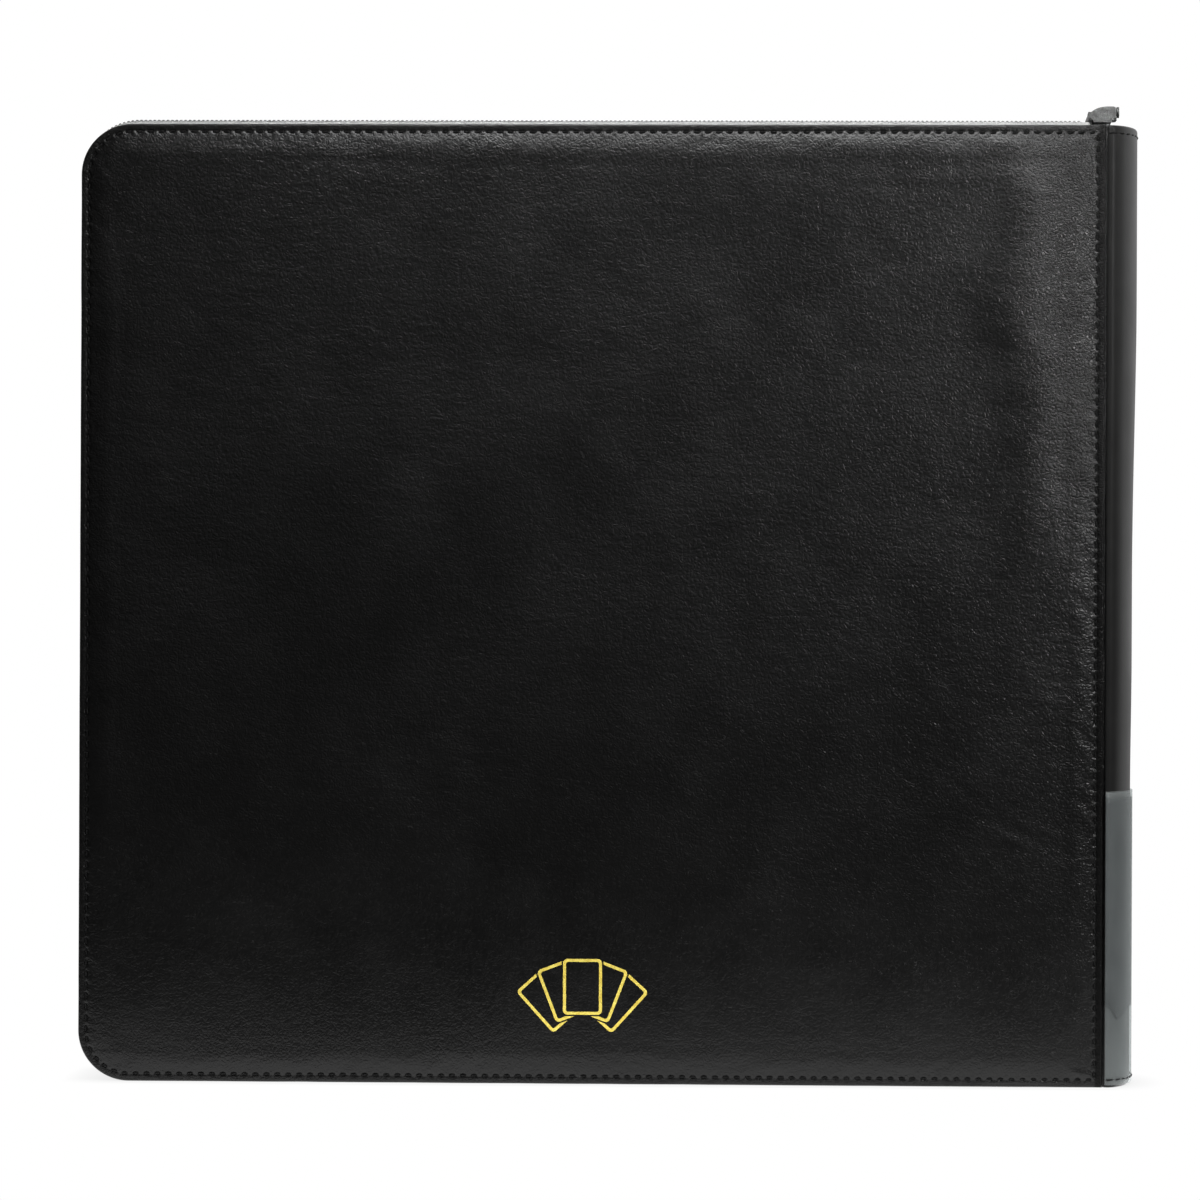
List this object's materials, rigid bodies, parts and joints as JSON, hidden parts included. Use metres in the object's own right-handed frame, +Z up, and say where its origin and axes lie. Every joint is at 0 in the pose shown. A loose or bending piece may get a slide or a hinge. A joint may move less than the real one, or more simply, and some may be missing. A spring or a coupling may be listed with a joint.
{
  "type": "trading card binder",
  "caption": "Zip-round padded binder standing shut on its lower edge: two hinged covers, bowed spine with label pocket, turning pocket pages and a sliding zip puller.",
  "frame": {"origin": "middle of the footprint, on the surface that the closed binder stands on", "axes": "+X from the fore-edge to the spine, -Y out through the back cover, +Z up"},
  "size_m": [0.356, 0.048, 0.3283],
  "materials": {
    "grained_leather": "fine grained padded imitation leather, near black, satin",
    "spine_leather": "smooth satin imitation leather, near black",
    "greyboard": "rigid grey board",
    "foam": "thin soft foam padding",
    "lining": "fine woven dark lining cloth",
    "thread": "black twisted sewing thread",
    "gold_foil": "hot stamped gold foil, slightly mottled",
    "zip_tape": "light grey woven zip tape",
    "zip_teeth": "moulded grey zip teeth",
    "zip_metal": "dark gunmetal plated die casting",
    "clear_film": "clear glossy film",
    "label_paper": "blank blue-grey card",
    "binding_plastic": "black plastic channel",
    "pocket_sheet": "black backing sheet with clear welded pockets"
  },
  "bodies": {
    "spine": {"spine_leather": "spine_leather", "spine_board": "greyboard", "spine_lining": "lining", "spine_thread": "thread", "label_pocket": "clear_film", "binding_channel": "binding_plastic", "zip_bottom_stop": "zip_metal"},
    "back_cover": {"back_cover_board": "greyboard", "back_cover_foam": "foam", "back_cover_lining": "lining", "back_cover_leather": "grained_leather", "back_cover_thread": "thread", "back_cover_emblem": "gold_foil", "back_zip_tape": "zip_tape", "back_zip_chain": "zip_teeth"},
    "front_cover": {"front_cover_board": "greyboard", "front_cover_foam": "foam", "front_cover_lining": "lining", "front_cover_leather": "grained_leather", "front_cover_thread": "thread", "front_zip_tape": "zip_tape", "front_zip_chain": "zip_teeth"},
    "zip_slider": {"slider_body": "zip_metal", "slider_crown": "zip_metal"},
    "pull_loop": {"pull_loop": "zip_metal"},
    "pull_tab": {"pull_tab": "zip_metal"},
    "label_card": {"label_card": "label_paper"},
    "page_leaf_01": {"page_leaf_01": "pocket_sheet"},
    "page_leaf_02": {"page_leaf_02": "pocket_sheet"},
    "page_leaf_03": {"page_leaf_03": "pocket_sheet"},
    "page_leaf_04": {"page_leaf_04": "pocket_sheet"},
    "page_leaf_05": {"page_leaf_05": "pocket_sheet"},
    "page_leaf_06": {"page_leaf_06": "pocket_sheet"},
    "page_leaf_07": {"page_leaf_07": "pocket_sheet"},
    "page_leaf_08": {"page_leaf_08": "pocket_sheet"},
    "page_leaf_09": {"page_leaf_09": "pocket_sheet"},
    "page_leaf_10": {"page_leaf_10": "pocket_sheet"},
    "page_leaf_11": {"page_leaf_11": "pocket_sheet"},
    "page_leaf_12": {"page_leaf_12": "pocket_sheet"},
    "page_leaf_13": {"page_leaf_13": "pocket_sheet"},
    "page_leaf_14": {"page_leaf_14": "pocket_sheet"},
    "page_leaf_15": {"page_leaf_15": "pocket_sheet"},
    "page_leaf_16": {"page_leaf_16": "pocket_sheet"},
    "page_leaf_17": {"page_leaf_17": "pocket_sheet"},
    "page_leaf_18": {"page_leaf_18": "pocket_sheet"},
    "page_leaf_19": {"page_leaf_19": "pocket_sheet"},
    "page_leaf_20": {"page_leaf_20": "pocket_sheet"}
  },
  "joints": [
    {"name": "front_cover_hinge", "type": "hinge", "parent": "spine", "child": "front_cover", "pos_m": [0.166, 0.024, 0.16], "axis": [0, 0, -1], "range_deg": [0, 100]},
    {"name": "back_cover_hinge", "type": "hinge", "parent": "spine", "child": "back_cover", "pos_m": [0.166, -0.024, 0.16], "axis": [0, 0, 1], "range_deg": [0, 100]},
    {"name": "zip_slide", "type": "slide", "parent": "back_cover", "child": "zip_slider", "axis": [-1, 0, 0], "range_m": [0, 0.3]},
    {"name": "pull_loop_hinge", "type": "hinge", "parent": "zip_slider", "child": "pull_loop", "pos_m": [0.16595, 0, 0.3264], "axis": [1, 0, 0], "range_deg": [0, 150]},
    {"name": "pull_tab_hinge", "type": "hinge", "parent": "pull_loop", "child": "pull_tab", "pos_m": [0.16595, 0.00498, 0.32596], "axis": [1, 0, 0], "range_deg": [0, 60]},
    {"name": "label_slide", "type": "slide", "parent": "spine", "child": "label_card", "axis": [0, 0, 1], "range_m": [0, 0.08]},
    {"name": "leaf_01_turn", "type": "hinge", "parent": "spine", "child": "page_leaf_01", "pos_m": [0.1622, -0.0171, 0.16], "axis": [0, 0, -1], "range_deg": [0, 60]},
    {"name": "leaf_02_turn", "type": "hinge", "parent": "spine", "child": "page_leaf_02", "pos_m": [0.1622, -0.0153, 0.16], "axis": [0, 0, -1], "range_deg": [0, 60]},
    {"name": "leaf_03_turn", "type": "hinge", "parent": "spine", "child": "page_leaf_03", "pos_m": [0.1622, -0.0135, 0.16], "axis": [0, 0, -1], "range_deg": [0, 60]},
    {"name": "leaf_04_turn", "type": "hinge", "parent": "spine", "child": "page_leaf_04", "pos_m": [0.1622, -0.0117, 0.16], "axis": [0, 0, -1], "range_deg": [0, 60]},
    {"name": "leaf_05_turn", "type": "hinge", "parent": "spine", "child": "page_leaf_05", "pos_m": [0.1622, -0.0099, 0.16], "axis": [0, 0, -1], "range_deg": [0, 60]},
    {"name": "leaf_06_turn", "type": "hinge", "parent": "spine", "child": "page_leaf_06", "pos_m": [0.1622, -0.0081, 0.16], "axis": [0, 0, -1], "range_deg": [0, 60]},
    {"name": "leaf_07_turn", "type": "hinge", "parent": "spine", "child": "page_leaf_07", "pos_m": [0.1622, -0.0063, 0.16], "axis": [0, 0, -1], "range_deg": [0, 60]},
    {"name": "leaf_08_turn", "type": "hinge", "parent": "spine", "child": "page_leaf_08", "pos_m": [0.1622, -0.0045, 0.16], "axis": [0, 0, -1], "range_deg": [0, 60]},
    {"name": "leaf_09_turn", "type": "hinge", "parent": "spine", "child": "page_leaf_09", "pos_m": [0.1622, -0.0027, 0.16], "axis": [0, 0, -1], "range_deg": [0, 60]},
    {"name": "leaf_10_turn", "type": "hinge", "parent": "spine", "child": "page_leaf_10", "pos_m": [0.1622, -0.0009, 0.16], "axis": [0, 0, -1], "range_deg": [0, 60]},
    {"name": "leaf_11_turn", "type": "hinge", "parent": "spine", "child": "page_leaf_11", "pos_m": [0.1622, 0.0009, 0.16], "axis": [0, 0, -1], "range_deg": [0, 60]},
    {"name": "leaf_12_turn", "type": "hinge", "parent": "spine", "child": "page_leaf_12", "pos_m": [0.1622, 0.0027, 0.16], "axis": [0, 0, -1], "range_deg": [0, 60]},
    {"name": "leaf_13_turn", "type": "hinge", "parent": "spine", "child": "page_leaf_13", "pos_m": [0.1622, 0.0045, 0.16], "axis": [0, 0, -1], "range_deg": [0, 60]},
    {"name": "leaf_14_turn", "type": "hinge", "parent": "spine", "child": "page_leaf_14", "pos_m": [0.1622, 0.0063, 0.16], "axis": [0, 0, -1], "range_deg": [0, 60]},
    {"name": "leaf_15_turn", "type": "hinge", "parent": "spine", "child": "page_leaf_15", "pos_m": [0.1622, 0.0081, 0.16], "axis": [0, 0, -1], "range_deg": [0, 60]},
    {"name": "leaf_16_turn", "type": "hinge", "parent": "spine", "child": "page_leaf_16", "pos_m": [0.1622, 0.0099, 0.16], "axis": [0, 0, -1], "range_deg": [0, 60]},
    {"name": "leaf_17_turn", "type": "hinge", "parent": "spine", "child": "page_leaf_17", "pos_m": [0.1622, 0.0117, 0.16], "axis": [0, 0, -1], "range_deg": [0, 60]},
    {"name": "leaf_18_turn", "type": "hinge", "parent": "spine", "child": "page_leaf_18", "pos_m": [0.1622, 0.0135, 0.16], "axis": [0, 0, -1], "range_deg": [0, 60]},
    {"name": "leaf_19_turn", "type": "hinge", "parent": "spine", "child": "page_leaf_19", "pos_m": [0.1622, 0.0153, 0.16], "axis": [0, 0, -1], "range_deg": [0, 60]},
    {"name": "leaf_20_turn", "type": "hinge", "parent": "spine", "child": "page_leaf_20", "pos_m": [0.1622, 0.0171, 0.16], "axis": [0, 0, -1], "range_deg": [0, 60]}
  ],
  "couplings": [
    {"joint": "leaf_01_turn", "follows": "front_cover_hinge", "ratio": 0.0275},
    {"joint": "leaf_02_turn", "follows": "front_cover_hinge", "ratio": 0.055},
    {"joint": "leaf_03_turn", "follows": "front_cover_hinge", "ratio": 0.0825},
    {"joint": "leaf_04_turn", "follows": "front_cover_hinge", "ratio": 0.11},
    {"joint": "leaf_05_turn", "follows": "front_cover_hinge", "ratio": 0.1375},
    {"joint": "leaf_06_turn", "follows": "front_cover_hinge", "ratio": 0.165},
    {"joint": "leaf_07_turn", "follows": "front_cover_hinge", "ratio": 0.1925},
    {"joint": "leaf_08_turn", "follows": "front_cover_hinge", "ratio": 0.22},
    {"joint": "leaf_09_turn", "follows": "front_cover_hinge", "ratio": 0.2475},
    {"joint": "leaf_10_turn", "follows": "front_cover_hinge", "ratio": 0.275},
    {"joint": "leaf_11_turn", "follows": "front_cover_hinge", "ratio": 0.3025},
    {"joint": "leaf_12_turn", "follows": "front_cover_hinge", "ratio": 0.33},
    {"joint": "leaf_13_turn", "follows": "front_cover_hinge", "ratio": 0.3575},
    {"joint": "leaf_14_turn", "follows": "front_cover_hinge", "ratio": 0.385},
    {"joint": "leaf_15_turn", "follows": "front_cover_hinge", "ratio": 0.4125},
    {"joint": "leaf_16_turn", "follows": "front_cover_hinge", "ratio": 0.44},
    {"joint": "leaf_17_turn", "follows": "front_cover_hinge", "ratio": 0.4675},
    {"joint": "leaf_18_turn", "follows": "front_cover_hinge", "ratio": 0.495},
    {"joint": "leaf_19_turn", "follows": "front_cover_hinge", "ratio": 0.5225},
    {"joint": "leaf_20_turn", "follows": "front_cover_hinge", "ratio": 0.55}
  ]
}
